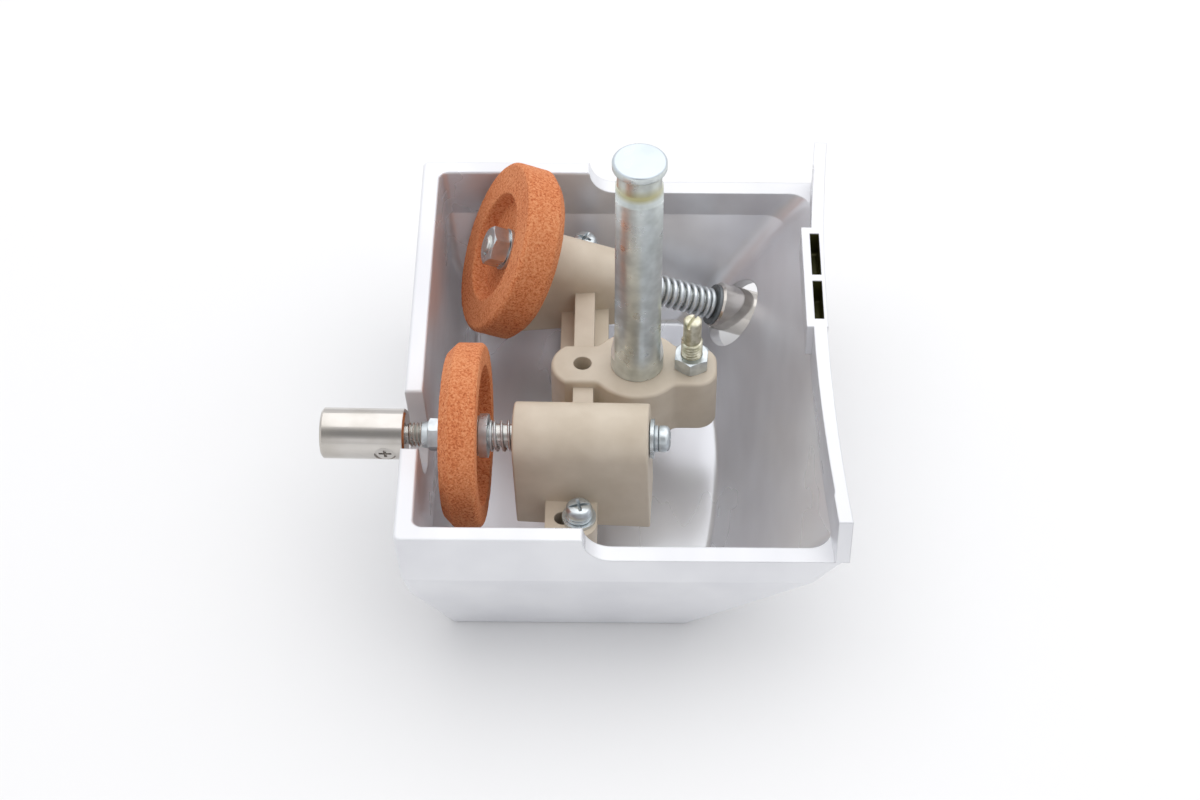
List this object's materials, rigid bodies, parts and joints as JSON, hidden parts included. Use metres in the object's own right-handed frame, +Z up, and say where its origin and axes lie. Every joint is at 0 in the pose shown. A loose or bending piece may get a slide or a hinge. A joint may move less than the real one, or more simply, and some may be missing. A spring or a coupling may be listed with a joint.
{
  "type": "slicer blade sharpener unit",
  "caption": "Open cast cover with a moulded bracket that carries a mounting post and sprung push-button spindles with abrasive cup wheels.",
  "frame": {"origin": "on the flat face the cover rests on, under the axis of the mounting post", "axes": "+X from the front button towards the sloped wall with the flange, +Y from the front wheel towards the rear wheel, +Z up along the mounting post"},
  "size_m": [0.1405, 0.1479, 0.114],
  "materials": {
    "cast_aluminium": "satin blasted and clear coated",
    "tan_nylon": "moulded, matte",
    "zinc_steel": "clear zinc plated",
    "yellow_zinc_steel": "yellow zinc plated",
    "bright_steel": "turned",
    "polished_steel": "polished",
    "spring_steel": "drawn wire",
    "corundum": "vitrified abrasive, grainy"
  },
  "bodies": {
    "cover": {"housing": "cast_aluminium", "bracket": "tan_nylon", "post": "zinc_steel", "adjusting_lock_nut": "zinc_steel", "front_bracket_screw": "zinc_steel", "front_bracket_lock_washer": "zinc_steel", "front_bracket_washer": "zinc_steel", "rear_bracket_screw": "zinc_steel", "rear_bracket_lock_washer": "zinc_steel", "rear_bracket_washer": "zinc_steel", "front_spring": "spring_steel", "rear_spring": "spring_steel"},
    "adjuster": {"adjusting_screw": "yellow_zinc_steel"},
    "front_plunger": {"front_button": "polished_steel", "front_button_screw": "polished_steel"},
    "front_rotor": {"front_spindle": "bright_steel", "front_wheel": "corundum", "front_wheel_nut": "zinc_steel", "front_wheel_washer": "zinc_steel", "front_spring_seat": "zinc_steel", "front_end_washer": "zinc_steel", "front_end_lock_washer": "zinc_steel", "front_end_screw": "zinc_steel"},
    "rear_plunger": {"rear_button": "polished_steel", "rear_button_screw": "polished_steel", "rear_spring_washer": "zinc_steel"},
    "rear_rotor": {"rear_spindle": "bright_steel", "rear_wheel": "corundum", "rear_wheel_nut": "zinc_steel", "rear_wheel_washer": "zinc_steel"}
  },
  "joints": [
    {"name": "adjuster_travel", "type": "slide", "parent": "cover", "child": "adjuster", "axis": [0, 0, 1], "range_m": [-0.003, 0.003]},
    {"name": "front_push", "type": "slide", "parent": "cover", "child": "front_plunger", "axis": [0.9983, -0.0471, 0.0349], "range_m": [0, 0.005], "stiffness_N_per_m": 900, "springref_m": -0.003, "deforming": ["front_spring"]},
    {"name": "front_wheel_spin", "type": "hinge", "parent": "front_plunger", "child": "front_rotor", "pos_m": [-0.04615, -0.0353, 0.0464], "axis": [0.9983, -0.0471, 0.0349], "continuous": true},
    {"name": "rear_push", "type": "slide", "parent": "cover", "child": "rear_plunger", "axis": [-0.9018, -0.1043, 0.4195], "range_m": [0, 0.004], "stiffness_N_per_m": 1500, "springref_m": -0.003, "deforming": ["rear_spring"]},
    {"name": "rear_wheel_spin", "type": "hinge", "parent": "rear_plunger", "child": "rear_rotor", "pos_m": [-0.0411, 0.0362, 0.0495], "axis": [0.9018, 0.1043, -0.4195], "continuous": true}
  ]
}
